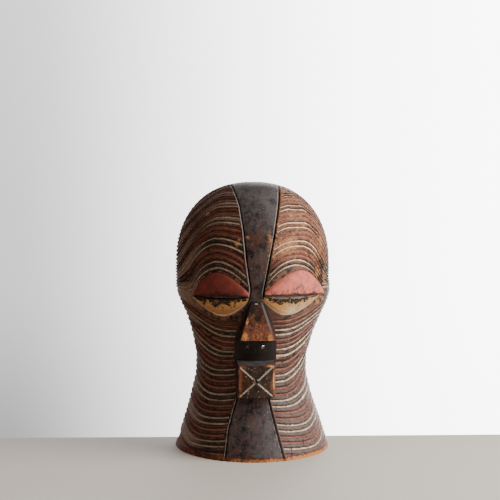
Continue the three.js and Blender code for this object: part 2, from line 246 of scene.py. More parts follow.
def upper_line(j, s, side):
    arch = ARCHES[side]
    across = np.sin(0.12 + 1.45 * s) - BROW_MIDDLE / 105.6
    inner = arch["inner"] * unit(1 - j / 11) ** 1.5 * unit(-across / 0.38) ** 2
    start = arch["start"] + arch["shift"] * j
    end = np.minimum(1, arch["end"] + arch["open"] * np.maximum(0, j - 5))
    wide = smooth((s - start) / (end - start))
    rounded = unit((s - arch["corner"]) / arch["across"]) ** 2.1
    open_end = unit(j / 5)
    hook = arch["hook"] * unit(1 - s / 0.15) ** 2
    fall = table_line(ARCH_DROPS[side], j) * ((1 - open_end) * rounded + open_end * wide)
    return table_line(ARCH_PEAKS[side], j) - inner - hook - fall


def turn_at(x, half):
    return np.arcsin(np.clip(x / np.maximum(half, 0.1), 0, 0.985))


def field_turn(half, z, s, side):
    start = turn_at(centre_edge(z, side) + CHANNEL_WIDTH, half)
    return start + s * (math.pi / 2 - start)


def lid_open(x, upper, side):
    """Share of the full height that a lid has at a distance across the face."""
    eye = EYES[side]
    inner = 1 - unit((eye["apex"] - x) / eye["inner"]) ** 1.7
    outer = 1 - unit((x - eye["apex"]) / eye["outer"]) ** 2.2
    within = 1 - unit((eye["low"] - x) / eye["low_inner"]) ** 2.6
    beyond = 1 - unit((x - eye["low"]) / eye["low_outer"]) ** 2
    above = np.where(x < eye["apex"], inner, outer)
    below = np.where(x < eye["low"], within, beyond)
    return np.where(upper, above, below)


def skin_rows(s, side):
    """Run, line number and lid share of every row for each share s across one side."""
    runs, lines, lids = [], [], []

    def add(run, line, lid):
        runs.append(run + 0 * s)
        lines.append(line + 0 * s)
        lids.append(lid + 0 * s)

    first = lower_line(-0.5, s, side)
    for share in np.linspace(0, 1, 9)[:-1]:
        add(share * first, -1.5 + share if side < 0 else -0.5, NO_LID)
    for k in np.arange(LOWER_LINES * ROWS_A_LINE + 1) / ROWS_A_LINE - 0.5:
        drift = LINE_DRIFT["lower"] * ripple(s * 6, k * 1.3, 11 + side, reach=1.0)
        drift = drift * unit((k + 0.5) / 2) * unit((LOWER_LINES - 0.5 - k) / 2)
        add(lower_line(k, s, side) + drift, k, NO_LID)
    eye = EYES[side]
    low = lower_line(LOWER_LINES - 0.5, s, side)
    high = upper_line(-0.5, s, side)
    half, _, z = section(np.array([[eye["slit"]]]))
    x = half * np.sin(field_turn(half, z, s, side))
    middle = eye["slit"] + (low + high - 2 * eye["slit"]) / 2 * step(s, 0.6, 0.95)
    open_low = lid_open(np.maximum(x, eye["low"] - 0.98 * eye["low_inner"]), False, side)
    open_high = lid_open(np.maximum(x, eye["apex"] - 0.98 * eye["inner"]), True, side)
    down = np.minimum(LOWER_LID * open_low + 2 * (1 - open_low), middle - low - 1.3)
    up = np.minimum(UPPER_LID * open_high + 2 * (1 - open_high), high - middle - 1.3)
    for share in np.linspace(0, 1, 6)[1:-1]:
        add(low + (middle - down - low) * share, NO_LINE, NO_LID)
    for share in [*np.linspace(-1, -0.12, 15), -0.07, -0.035]:
        add(middle + share * down, NO_LINE, share)
    for share in [0.03, 0.06, *np.linspace(0.1, 1, 19)]:
        add(middle + share * up, NO_LINE, share)
    for share in np.linspace(0, 1, 6)[1:-1]:
        add(middle + up + (high - middle - up) * share, NO_LINE, NO_LID)
    for j in np.arange(UPPER_LINES * ROWS_A_LINE + 1) / ROWS_A_LINE - 0.5:
        drift = LINE_DRIFT["upper"] * ripple(s * 6, j * 1.3, 31 + side, reach=1.0)
        drift = drift * unit((j + 0.5) / 2) * unit((UPPER_LINES - j) / 4)
        add(upper_line(j, s, side) + drift, UPPER_FROM + j, NO_LID)
    last = upper_line(UPPER_LINES - 0.5, s, side)
    for share in CROWN_SHARES:
        add(last + (RUN_END - last) * share, NO_LINE, NO_LID)
    return np.concatenate(runs), np.concatenate(lines), np.concatenate(lids)


CENTRE_SHARES = np.linspace(0, 1, 15)
CHANNEL_SHARES = np.array([0.2, 0.36, 0.5, 0.64, 0.82])
FIELD_STEPS = np.linspace(0, 1, 79)
FIELD_SHARES = 0.35 * FIELD_STEPS + 0.65 * FIELD_STEPS ** 1.6


def side_skin(side):
    """Points and paint marks of one side of the face, columns from the middle to the back rim."""
    centres, channels, fields = len(CENTRE_SHARES), len(CHANNEL_SHARES), len(FIELD_SHARES)
    across = np.concatenate([np.zeros(centres + channels), FIELD_SHARES])[None, :]
    run, line, lid = skin_rows(across, side)
    half, _, z = section(run)
    edge = centre_edge(z, side)
    gap = np.concatenate([np.zeros(centres), CHANNEL_SHARES, np.ones(fields)])
    turn = np.where(across > 0, field_turn(half, z, across, side),
                    turn_at(edge + CHANNEL_WIDTH * gap, half))
    turn[:, :centres] = CENTRE_SHARES * turn_at(edge[:, :centres], half[:, :centres])
    point = form_point(run, turn)
    normal = form_normal(run, turn)
    normal[..., 2] *= unit(z / 6)

    column = np.arange(across.size)[None, :] + 0 * run
    in_field, in_centre = (column >= centres + channels) + 0.0, (column < centres) + 0.0
    above = line >= UPPER_FROM - 1
    number = np.where(above, line - UPPER_FROM, line)
    nearest = np.round(number)
    fold = np.where(line == NO_LINE, 0.5, np.abs(number - nearest))
    field_start = field_turn(half, z, 0, side)
    start = half * (turn - field_start)
    room = unit((half * (math.pi / 2 - field_start) - 6) / 12)
    reach = step(start, 0.2, 2.4) * room * in_field * step(z, *PLAIN_FOOT)
    depth_here = LINE_DEPTH * (0.86 + 0.14 * ripple(across * 9, nearest * 2.1, 5 + side))
    width = LINE_WIDTH[side] + 0.035 * ripple(across * 11, nearest * 1.7, 8 + side)
    groove = (1 - step(fold, 0.03, width)) * reach
    out = -groove * np.minimum(depth_here, LINE_DEPTH * 1.05)
    out = out - RIDGE_ROUND * unit(1 - fold / 0.5) ** 1.4 * (1 - groove) * reach

    on_lid = np.abs(lid) <= 1
    upper = lid > 0
    open_share = lid_open(point[..., 0], upper, side) * on_lid * in_field
    bulge = np.where(upper, UPPER_BULGE, LOWER_BULGE) * np.sqrt(open_share)
    bulge = bulge * unit(1 - lid * lid) ** 0.7
    crease = (np.abs(lid) < 0.08) * CREASE_DEPTH * step(open_share, 0.0, 0.3)
    edge_line = LID_EDGE_DEPTH * np.exp(-((np.abs(lid) - 1) / 0.06) ** 2) * step(open_share, 0.0, 0.15)
    out = out + np.where(on_lid, bulge - crease - edge_line, 0)

    channelled = np.maximum(step(z, BAND_FOOT - 2, BAND_FOOT + 3), step(z, CHIN_TOP + 1, CHIN_TOP - 3))
    channelled = channelled * (turn < 1.3)
    in_channel = (1 - in_field) * (1 - in_centre)
    vee = unit(1 - np.abs(2 * gap - 1)[None, :] ** 1.4)
    out = out - CHANNEL_DEPTH * vee * channelled * in_channel
    out = out + HAND_RIPPLE * ripple(point[..., 0] * 0.12, z * 0.1, 17) * (1 - groove) * np.cos(turn)

    point = point + normal * np.minimum(out, MOST_OUT)[..., None]
    point[:, -1, 1] = 0
    point[0, :, 2] = 0
    red = np.where(above, np.isin(nearest % 4, (2, 3)), np.isin((LOWER_LINES - 1 - nearest) % 4, (0, 1)))
    red = np.where(~above & (nearest < 0 if side < 0 else nearest <= 0), 1, red)
    ragged = ripple(nearest * 2.3, 0 * across + side, 41, reach=2.0)
    ragged_start = step(start, 0.6, 2.2 + 1.6 * ragged ** 2)
    # Pale arris lines on the channel edges that face the window: partly worn paint, partly painted highlight
    if side < 0:
        arris = (gap[None, :] > 0.7) * np.exp(-start / 0.8) * np.where(z > BAND_FOOT, 1, 0.4)
    else:
        arris = np.concatenate([CENTRE_SHARES > 0.99, np.zeros(channels + fields)])[None, :]
        arris = arris * np.where(z > BAND_FOOT, 1, 0.6)
    # Paint thinned at the outer eye corners and where the form turns away, more on the shaded left: partly
    # worn paint, partly painted shade
    corner_fade = step(across, 0.56, 0.68) * unit((250 - z) / 15) * above
    corner_fade = corner_fade * (1 if side < 0 else 0.3)
    turned_fade = step(point[..., 0], 48, 88) * step(z, 225, 250) * (0.5 if side < 0 else 0.15)
    paint_left = reach * ragged_start * (1 - 0.85 * corner_fade) * (1 - turned_fade)
    narrow = (half < edge + CHANNEL_WIDTH + 1) | ((line == NO_LINE) & (z > 300))
    lip_zone = step(z, 118, 121) * step(z, 157, 153) * np.exp(-np.maximum(start, 0) / 1.5)
    point[..., 0] = point[..., 0] * side + lean(z)
    worn = worn_places(point[..., 0], point[..., 2], SKIN_WEAR) * (point[..., 1] < -20)
    opened = step(open_share, 0.0, 0.02)
    marks = {
        "lines": np.stack([unit(fold * 2), red, paint_left, in_channel * channelled * vee], -1),
        "lids": np.stack([on_lid * upper * opened, on_lid * (1 - upper) * opened,
                          np.where(on_lid, np.abs(lid), 1.0),
                          np.maximum(np.maximum(in_centre, narrow), lip_zone)], -1),
        "wear": np.stack([worn, arris * channelled, in_field * (1 - on_lid),
                          0.5 + 0.5 * np.sin(2 * math.pi * number) * (line != NO_LINE)], -1),
    }
    return point, marks


def skin_grid():
    left, left_marks = side_skin(-1)
    right, right_marks = side_skin(1)
    grid = np.concatenate([left[:, :0:-1], right], 1)
    marks = {name: np.concatenate([left_marks[name][:, :0:-1], right_marks[name]], 1)
             for name in left_marks}
    return grid, marks


def closed_faces(rows, wide):
    """Faces of a grid closed by its flat back, flat foot and a point at the crown, the two flats last."""
    r, c = np.meshgrid(np.arange(rows - 1), np.arange(wide - 1), indexing="ij")
    a = (r * wide + c).ravel()
    faces = np.stack([a, a + 1, a + wide + 1, a + wide], 1).tolist()
    top, last = rows * wide, (rows - 1) * wide
    faces += [(last + i, last + (i + 1) % wide, top) for i in range(wide)]
    left, right = np.arange(rows) * wide, np.arange(rows) * wide + wide - 1
    faces.append([right[0], *left, *right[:0:-1]])
    faces.append(np.arange(wide)[::-1])
    return faces


# What the paint marks say where a surface has none of them
BARE_MARKS = {"lines": (1.0, 0.0, 0.0, 0.0), "lids": (0.0, 0.0, 1.0, 0.0), "wear": (0.0, 0.0, 0.0, 0.5)}
SEAM_MARKS = {**BARE_MARKS, "lids": (0.0, 0.0, 1.0, 1.0)}


def to_scene(points):
    points = np.asarray(points, float) / 1000.0
    points[:, :2] += (SIDE_PLACE, RIM_PLACE)
    return points


def new_object(name, data):
    piece = bpy.data.objects.new(name, data)
    bpy.context.scene.collection.objects.link(piece)
    return piece


def mesh_object(name, points, faces, material_index, marks=None):
    mesh = bpy.data.meshes.new(name)
    mesh.from_pydata(to_scene(points).tolist(), [], [tuple(int(i) for i in f) for f in faces])
    mesh.polygons.foreach_set("material_index", material_index)
    for label, bare in BARE_MARKS.items():
        values = (marks or {}).get(label, np.tile(bare, (len(points), 1)))
        layer = mesh.attributes.new(label, "FLOAT_COLOR", "POINT")
        layer.data.foreach_set("color", np.asarray(values, np.float32).ravel())
    mesh.update()
    return new_object(name, mesh)


SKIN, NOSE, MOUTH, HOLLOW = range(4)
SHARP_ANGLE = math.radians(42)


def skin_body():
    grid, marks = skin_grid()
    rows, wide = grid.shape[:2]
    faces = closed_faces(rows, wide)
    points = np.concatenate([grid.reshape(-1, 3), [[0, 0, HEIGHT]]])
    marks = {name: np.concatenate([v.reshape(-1, 4), [BARE_MARKS[name]]]) for name, v in marks.items()}
    marks["lids"][-1, 3] = 1
    index = np.full(len(faces), SKIN)
    index[-2:] = HOLLOW
    return mesh_object("carved_body", points, faces, index, marks)


def hollow_body():
    """The hollow with the marks of the tool that dug it, from under the foot to past the back rim."""
    runs = np.concatenate([[-8], np.linspace(6, 412, 56)])
    turns = np.linspace(-math.pi / 2, math.pi / 2, 49)
    run, turn = np.meshgrid(runs, turns, indexing="ij")
    half, depth, z = section(np.maximum(run, 0), WALL, ROOF)
    tool_marks = 0.5 * ripple(turn * 9, run * 0.09, 3, 8) + 0.35 * ripple(turn * 21, run * 0.2, 4, 8)
    half, depth = half - 0.5 + tool_marks * 0.8, depth - 0.5 + tool_marks * 0.8
    z = np.where(run < 0, run, z)
    middle = lean(np.maximum(z, 0))
    grid = np.stack([middle + half * np.sin(turn), -depth * np.cos(turn), z], -1)
    ends = [np.stack([middle[:, i] + side * half[:, i], np.full(len(runs), 6.0), z[:, i]], -1)[:, None]
            for side, i in ((-1, 0), (1, -1))]
    grid = np.concatenate([ends[0], grid, ends[1]], 1)
    faces = closed_faces(*grid.shape[:2])
    points = np.concatenate([grid.reshape(-1, 3), [[0, 3, HEIGHT - ROOF]]])
    return mesh_object("hollow_cutter", points, faces, np.full(len(faces), HOLLOW))


def patch_solid(name, patches, material, places):
    """A closed solid from four-cornered patches given as grids of points, welded where they meet."""
    points, faces, marks = [], [], []
    for grid, mark in patches:
        start = len(points)
        rows, wide = grid.shape[:2]
        points.extend(grid.reshape(-1, 3))
        marks.extend(mark.reshape(-1, 4))
        for r in range(rows - 1):
            for c in range(wide - 1):
                a = start + r * wide + c
                faces.append((a, a + 1, a + wide + 1, a + wide))
    _, index, back = np.unique(np.round(points, 3), axis=0, return_index=True, return_inverse=True)
    back = back.ravel()
    welded = np.array(points)[index]
    marked = np.zeros((len(index), 4))
    np.maximum.at(marked, back, np.array(marks))
    faces = [tuple(dict.fromkeys(back[list(f)])) for f in faces]
    faces = [f for f in faces if len(f) > 2]
    worn = worn_places(welded[:, 0], welded[:, 2], places)
    wear = np.stack([worn, 0 * worn, 0 * worn, 0 * worn + 0.5], -1)
    return mesh_object(name, welded, faces, np.full(len(faces), material), {"lines": marked, "wear": wear})


def plane_patch(corners, n, m, edges=(1, 1, 1, 1)):
    """Patch between four corners, marked with how near each point is to its worn edges.

    The edges are in the order low, right, high, left.
    """
    a, b, c, d = (np.array(p, float) for p in corners)
    v, u = np.meshgrid(np.linspace(0, 1, m), np.linspace(0, 1, n), indexing="ij")
    u, v = u[..., None], v[..., None]
    grid = (a * (1 - u) + b * u) * (1 - v) + (d * (1 - u) + c * u) * v
    width = max(np.linalg.norm(b - a), np.linalg.norm(c - d))
    tall = max(np.linalg.norm(d - a), np.linalg.norm(c - b))
    away = [v * tall, (1 - u) * width, (1 - v) * tall, u * width]
    near = np.zeros_like(u)
    for flag, gap in zip(edges, away):
        if flag:
            near = np.maximum(near, np.exp(-gap / 2.2))
    return grid, np.concatenate([near, 0 * near, 0 * near, 0 * near], -1)


def block_corners(low_half, high_half, low, high, low_y, high_y):
    return [(-low_half, low_y, low), (low_half, low_y, low),
            (high_half, high_y, high), (-high_half, high_y, high)]


def six_patches(back, front, n, m, deep, skip_front=False):
    """The faces of a block between two four-cornered ends, n points wide, m high and deep from end to end."""
    patches = [] if skip_front else [plane_patch(front, n, m)]
    return patches + [
        plane_patch([back[1], back[0], back[3], back[2]], n, m, (0, 0, 0, 0)),
        plane_patch([back[0], back[1], front[1], front[0]], n, deep, (0, 0, 1, 0)),
        plane_patch([front[3], front[2], back[2], back[3]], n, deep, (1, 0, 0, 0)),
        plane_patch([front[1], back[1], back[2], front[2]], deep, m, (1, 0, 1, 1)),
        plane_patch([back[0], front[0], front[3], back[3]], deep, m, (1, 1, 1, 0)),
    ]


def nose_body():
    root = block_corners(NOSE_ROOT_HALF + 2, NOSE_TOP_HALF + 4, NOSE_FOOT - 2.7, NOSE_TOP + 3,
                         -wall_depth(NOSE_FOOT) + 6, -wall_depth(NOSE_TOP) + 6)
    tip = block_corners(NOSE_FOOT_HALF, NOSE_TOP_HALF, NOSE_FOOT, NOSE_TOP,
                        -NOSE_TIP, -wall_depth(NOSE_TOP) - 2)
    return patch_solid("nose_block", six_patches(root, tip, 21, 31, 15), NOSE, NOSE_WEAR)


def mouth_body():
    n = 61
    back_y = -wall_depth(MOUTH_TOP) + 8
    root = block_corners(MOUTH_HALF + 1.5, MOUTH_HALF + 1.5, MOUTH_FOOT - 1, MOUTH_TOP + 4.5, back_y, back_y)
    tip = block_corners(MOUTH_HALF, MOUTH_HALF, MOUTH_FOOT, MOUTH_TOP, -MOUTH_EDGE, -MOUTH_EDGE)
    patches = six_patches(root, tip, n, n, 15, skip_front=True)
    v, u = np.meshgrid(np.linspace(-1, 1, n), np.linspace(-1, 1, n), indexing="ij")
    from_middle = np.maximum(abs(u), abs(v))
    out = MOUTH_EDGE + (MOUTH_PEAK - MOUTH_EDGE) * (1 - from_middle)
    away = np.abs(np.abs(u) - np.abs(v)) * MOUTH_HALF / math.sqrt(2)
    inside = step(from_middle, 0.97, 0.86)
    cut = (1 - step(away, 0.1, 1.5)) * inside
    middle = (MOUTH_FOOT + MOUTH_TOP) / 2
    up = middle + v * (MOUTH_TOP - MOUTH_FOOT) / 2
    grid = np.stack([u * MOUTH_HALF, -(out - MOUTH_CUT * cut), up], -1)
    edge = np.exp(-(1 - from_middle) * MOUTH_HALF / 1.6)
    marks = np.stack([edge, cut, from_middle * inside, np.ones_like(u)], -1)
    return patch_solid("mouth_block", [*patches, (grid, marks)], MOUTH, MOUTH_WEAR)


def cutter(name, sections):
    """A closed cutter through a row of four-cornered sections."""
    points = np.concatenate(sections)
    last = len(points) - 4
    faces = [(0, 1, 2, 3), (last + 3, last + 2, last + 1, last)]
    for start in range(0, last, 4):
        for i in range(4):
            p, q = start + i, start + (i + 1) % 4
            faces.append((p, p + 4, q + 4, q))
    return mesh_object(name, points, faces, np.full(len(faces), HOLLOW))


def slit_cutter(side):
    eye = EYES[side]
    half, depth, _ = section(np.array([eye["slit"]]))
    turns = np.linspace(*(turn_at(x, half[0]) for x in (eye["near"], eye["far"])), SLIT_SECTIONS)
    sections = []
    for i, turn in enumerate(turns if side < 0 else turns[::-1]):
        taper = 0.45 + 0.55 * math.sin(math.pi * (i + 0.5) / len(turns)) ** 0.4
        corners = [(SLIT_OUT, -1), (SLIT_IN, -1), (SLIT_IN, 1), (SLIT_OUT, 1)]
        sections.append([(side * (half[0] + out) * math.sin(turn) + lean(eye["slit"]),
                          -(depth[0] + out) * math.cos(turn),
                          eye["slit"] - SLIT_RISE * out + up * SLIT_OPEN * taper / 2) for out, up in corners])
    return cutter("slit_cutter", sections)


def nostril_cutter(side):
    points, count = [], 14
    for y in NOSTRIL_REACH:
        for i in range(count):
            a = 2 * math.pi * i / count
            size = NOSTRIL_ACROSS / 2 * (1 + 0.14 * math.sin(2 * a + side))
            points.append((side * NOSTRIL_APART + size * (1 + NOSTRIL_WIDEN[side]) * math.cos(a), y,
                           NOSTRIL_HEIGHT - NOSTRIL_FALL[side] * (y + NOSTRIL_MIDDLE) + size * math.sin(a)))
    faces = [tuple(range(count)), tuple(range(2 * count - 1, count - 1, -1))]
    faces += [(i, i + count, (i + 1) % count + count, (i + 1) % count) for i in range(count)]
    return mesh_object("nostril_cutter", points, faces, np.full(len(faces), HOLLOW))


def read_marks(mesh, label):
    values = np.empty(len(mesh.vertices) * 4, np.float32)
    mesh.attributes[label].data.foreach_get("color", values)
    return values.reshape(-1, 4)


def combine(body, other, operation):
    """Join or cut the body with the other solid, which is spent, and give the new seam its own marks."""
    change = body.modifiers.new("shape", "BOOLEAN")
    change.operation = operation
    change.solver = "MANIFOLD"
    change.object = other
    graph = bpy.context.evaluated_depsgraph_get()
    result = bpy.data.meshes.new_from_object(body.evaluated_get(graph))
    body.modifiers.clear()
    seam = np.ones(len(result.vertices), bool)
    layers = {label: read_marks(result, label) for label in BARE_MARKS}
    for values in layers.values():
        seam &= (values == 1).all(1)
    for label, values in layers.items():
        values[seam] = SEAM_MARKS[label]
        result.attributes[label].data.foreach_set("color", values.ravel())
    old = body.data
    body.data = result
    bpy.data.meshes.remove(old)
    spent = other.data
    bpy.data.objects.remove(other)
    bpy.data.meshes.remove(spent)


def reckoning(operation, turned=False):
    """A method that puts one maths node between a value and another."""
    def method(self, other):
        pair = (other, self) if turned else (self, other)
        return self.tree.add("ShaderNodeMath", {"operation": operation}, dict(enumerate(pair)))
    return method


class Value:
    """A socket of a shader tree that Python's own signs can reckon with."""

    def __init__(self, tree, socket):
        self.tree, self.socket = tree, socket

    __add__, __radd__ = reckoning("ADD"), reckoning("ADD", True)
    __sub__, __rsub__ = reckoning("SUBTRACT"), reckoning("SUBTRACT", True)
    __mul__ = reckoning("MULTIPLY")
    most, least = reckoning("MAXIMUM"), reckoning("MINIMUM")

    def size(self):
        return self.tree.add("ShaderNodeMath", {"operation": "ABSOLUTE"}, {0: self})

    def rise(self, low, high):
        """Smooth step from 0 at low to 1 at high."""
        return self.tree.add("ShaderNodeMapRange", {"interpolation_type": "SMOOTHSTEP"},
                             {"Value": self, "From Min": low, "From Max": high})


class Tree:
    """The nodes of a material or of the world."""

    def __init__(self, node_tree):
        self.nodes, self.links = node_tree.nodes, node_tree.links

    def add(self, kind, settings, values, out=0):
        node = self.nodes.new(kind)
        for name, value in settings.items():
            setattr(node, name, value)
        for name, value in values.items():
            if isinstance(value, Value):
                self.links.new(value.socket, node.inputs[name])
            else:
                node.inputs[name].default_value = value
        return Value(self, node.outputs[out])

    def mix(self, share, a, b):
        colour = [v if isinstance(v, Value) else (*v, 1.0) for v in (a, b)]
        return self.add("ShaderNodeMix", {"data_type": "RGBA"}, {0: share, 6: colour[0], 7: colour[1]}, out=2)

    def split(self, kind, socket):
        node = self.nodes.new(kind)
        self.links.new(socket, node.inputs[0])
        return [Value(self, part) for part in node.outputs]

    def coordinates(self, kind):
        """A place as one value and as its three axes."""
        socket = self.nodes.new("ShaderNodeTexCoord").outputs[kind]
        return Value(self, socket), self.split("ShaderNodeSeparateXYZ", socket)

    def layer(self, name):
        """The four marks that the points carry under a name."""
        node = self.nodes.new("ShaderNodeAttribute")
        node.attribute_name = name
        return [*self.split("ShaderNodeSeparateColor", node.outputs["Color"]),
                Value(self, node.outputs["Alpha"])]


class Surface(Tree):
    """A material with the places on it."""

    def __init__(self, name, roughness=0.6, specular=0.5):
        self.material = bpy.data.materials.new(name)
        self.material.use_nodes = True
        super().__init__(self.material.node_tree)
        self.shader = self.nodes["Principled BSDF"]
        self.shader.inputs["Roughness"].default_value = roughness
        self.shader.inputs["Specular IOR Level"].default_value = specular
        self.place, (self.x, self.y, self.z) = self.coordinates("Object")

    def noise(self, scale, detail, rough, stretch=None):
        """Noise over the surface, drawn out along the axes where stretch is below 1."""
        where = self.place
        if stretch:
            where = self.add("ShaderNodeVectorMath", {"operation": "MULTIPLY"}, {0: where, 1: stretch})
        return self.add("ShaderNodeTexNoise", {},
                        {"Vector": where, "Scale": scale, "Detail": detail, "Roughness": rough})

    def finish(self, colour, roughness, height, strength, distance):
        self.links.new(colour.socket, self.shader.inputs["Base Color"])
        self.links.new(roughness.socket, self.shader.inputs["Roughness"])
        bump = self.add("ShaderNodeBump", {}, {"Height": height, "Strength": strength, "Distance": distance})
        self.links.new(bump.socket, self.shader.inputs["Normal"])
        return self.material


class WornSurface(Surface):
    """The same with the noises that the old paint and wood share, and grain down the wood."""

    def __init__(self, name, specular):
        super().__init__(name, specular=specular)
        self.fine = self.noise(1100, 2, 0.6)
        self.small = self.noise(330, 4, 0.62)
        self.middling = self.noise(120, 4, 0.6)
        self.broad = self.noise(38, 3, 0.5)
        self.grain = self.noise(480, 4, 0.6, (1.0, 1.0, 0.12))

    def ragged(self, value, small=0.0, middling=0.0, broad=0.0, fine=0.0):
        """A value made uneven by its share of each noise."""
        for noise, share in ((self.small, small), (self.middling, middling),
                             (self.broad, broad), (self.fine, fine)):
            if share:
                value = value + (noise - 0.5) * share
        return value


class StripedSurface(WornSurface):
    """The same with the marks of the skin's points, and the parts of the face in light and shade."""

    def __init__(self, name, specular):
        super().__init__(name, specular)
        self.fold, red, self.field, self.channel = self.layer("lines")
        self.upper, self.lower, self.share, self.centre = self.layer("lids")
        self.worn, self.arris, self.lined, self.tilt = self.layer("wear")
        self.flecks = self.noise(620, 2, 0.5)
        self.brushed = self.noise(640, 4, 0.65, (0.32, 0.32, 1.0))
        self.reddish = red.rise(0.3, 0.7)
        self.lit_side = self.x.rise(-0.01, 0.05)
        self.brow = self.z.rise(0.238, 0.262)
        self.near_foot = self.z.rise(0.13, 0.04)
        self.shaded_eye = self.x.rise(0.0, -0.02)


# Colours of the ridges: soot and bare wood, painted light and sheen on them at the right, at the foot and at
# the far left, and painted shade for the grooves and channels
SOOT = (0.010, 0.005, 0.003)
CHARCOAL = (0.045, 0.024, 0.017)
LIT_GREY = (0.130, 0.094, 0.080)
FOOT_SHEEN_GREY = (0.165, 0.132, 0.122)
FAR_WOOD_AND_LIGHT = (0.31, 0.185, 0.145)
LIT_RED = (0.21, 0.105, 0.080)
RED_GROUND = (0.085, 0.026, 0.016)
WARM_GROUND = (0.026, 0.011, 0.007)
GROOVE_SHADE = (0.010, 0.006, 0.004)
CHANNEL_SHADE = (0.006, 0.004, 0.003)
DARK_WOOD = (0.125, 0.042, 0.019)
BROWN_WOOD = (0.35, 0.150, 0.075)
RAW_WOOD = (0.54, 0.26, 0.105)
FOOT_WOOD = (0.50, 0.19, 0.055)
FOOT_RED = (0.095, 0.027, 0.014)

# White clay and red earth of the lines: in the light, worn, and darker copies as painted shade
WHITE_CLAY = (0.96, 0.74, 0.53)
FADED_CLAY = (0.56, 0.36, 0.24)
SHADED_CLAY = (0.50, 0.355, 0.245)
SHADED_FADED_CLAY = (0.35, 0.235, 0.160)
RED_EARTH = (0.46, 0.205, 0.155)
OLD_EARTH = (0.25, 0.092, 0.062)
SHADED_EARTH = (0.25, 0.070, 0.044)

# Lids, with darker copies that paint the shade on the left eye
LID_PINK = (0.75, 0.185, 0.132)
LID_ROSE = (0.38, 0.13, 0.10)
LID_SHADED_RED = (0.205, 0.037, 0.027)
LID_SHADED_MAROON = (0.12, 0.03, 0.022)
BRUISE = (0.115, 0.070, 0.066)
CREAM = (0.66, 0.48, 0.31)
OCHRE = (0.50, 0.245, 0.083)
OCHRE_IN_SHADE = (0.30, 0.11, 0.045)
LID_RIM = (0.66, 0.45, 0.32)
LID_DIRT = (0.022, 0.014, 0.010)

# Centre band, chin panel and the dark strip under the nose, with a painted bluish sheen and pale arris lines
BAND_GREY = (0.098, 0.083, 0.081)
BAND_BROWN = (0.084, 0.032, 0.021)
BAND_WOOD = (0.48, 0.23, 0.12)
BLUE_GREY_SHEEN = (0.100, 0.092, 0.098)
STRIP_BLACK = (0.012, 0.008, 0.007)
ARRIS = (0.32, 0.265, 0.24)

# Nose and mouth
NOSE_DARK_RUST = (0.085, 0.022, 0.012)
NOSE_RUST = (0.23, 0.070, 0.028)
NOSE_AMBER = (0.34, 0.11, 0.030)
NOSE_GOLD = (0.60, 0.26, 0.075)
NOSE_FLECK = (0.46, 0.24, 0.13)
MOUTH_BLACK = (0.012, 0.006, 0.004)
MOUTH_BROWN = (0.058, 0.031, 0.020)
MOUTH_LEFT_DARK = (0.024, 0.009, 0.005)
MOUTH_LEFT_BROWN = (0.105, 0.036, 0.018)
MOUTH_SHEEN = (0.095, 0.088, 0.087)
MOUTH_RUST = (0.20, 0.062, 0.024)
MOUTH_AMBER = (0.45, 0.18, 0.06)
MOUTH_BARE = (0.68, 0.42, 0.20)
CHALK = (0.85, 0.70, 0.55)
OLD_CHALK = (0.34, 0.28, 0.22)

# Hollow
HOLLOW_DARK = (0.16, 0.075, 0.032)
HOLLOW_PALE = (0.32, 0.16, 0.07)
HOLLOW_STAIN = (0.07, 0.035, 0.018)


def ridge_colour(on):
    """Sooty, reddish or rubbed wood of the ridges between the painted lines, with painted light and sheen at
    the far left, on the window side and at the foot.
    """
    small, middling, lit_side = on.small, on.middling, on.lit_side
    ridge = on.mix((middling * 0.8 + small * 0.3).rise(0.38, 0.72), SOOT, CHARCOAL)
    # Far left and top left: brown wood lightened as painted light from the wall behind and from above
    far = on.x.rise(-0.06, -0.095).most(on.z.rise(0.285, 0.325) * on.x.rise(0.01, -0.01))
    ridge = on.mix(far * small.rise(0.2, 0.55) * 0.85, ridge, FAR_WOOD_AND_LIGHT)
    # Painted light and bluish sheen: greyer, lighter ridges on the window side, most near the foot
    lit_sheen_share = (on.broad * 0.6 + middling * 0.5 + on.near_foot * 0.25).rise(0.40, 0.64) * 0.85
    lit_sheen_share = lit_side * lit_sheen_share.most(on.near_foot * 0.6)
    ridge = on.mix(lit_sheen_share, ridge, on.mix(on.near_foot, LIT_GREY, FOOT_SHEEN_GREY))
    warm = on.mix(middling.rise(0.35, 0.7), WARM_GROUND, RED_GROUND)
    # Painted light: the red ground lighter on the window side near the foot
    warm = on.mix(lit_side * on.near_foot * 0.8, warm, LIT_RED)
    warm_share = on.ragged(on.reddish * 0.75, 1.2, 0.8).rise(0.2, 0.7) * on.lined
    ridge = on.mix(warm_share * (1 - lit_side * (1 - on.brow) * 0.65), ridge, warm)
    rubbed = on.ragged(on.brow * lit_side * 0.56 + lit_side * 0.12 + on.worn * 0.5, 0.9, 1.2, 0.7)
    rubbed_wood = on.mix(small.rise(0.35, 0.7), DARK_WOOD, BROWN_WOOD)
    ridge = on.mix(rubbed.rise(0.28, 0.72) * 0.85, ridge, rubbed_wood)
    grime = (small * 0.5 + on.brushed * 0.5).rise(0.48, 0.58) * lit_side * (0.8 - on.brow * 0.3)
    ridge = on.mix(grime * on.lined, ridge, CHARCOAL)
    crumbs = (on.flecks * 0.6 + small * 0.4).rise(0.60, 0.66) * lit_side * middling.rise(0.45, 0.6)
    return on.mix(crumbs * on.lined * 0.7, ridge, on.mix(on.brow, FADED_CLAY, RAW_WOOD))


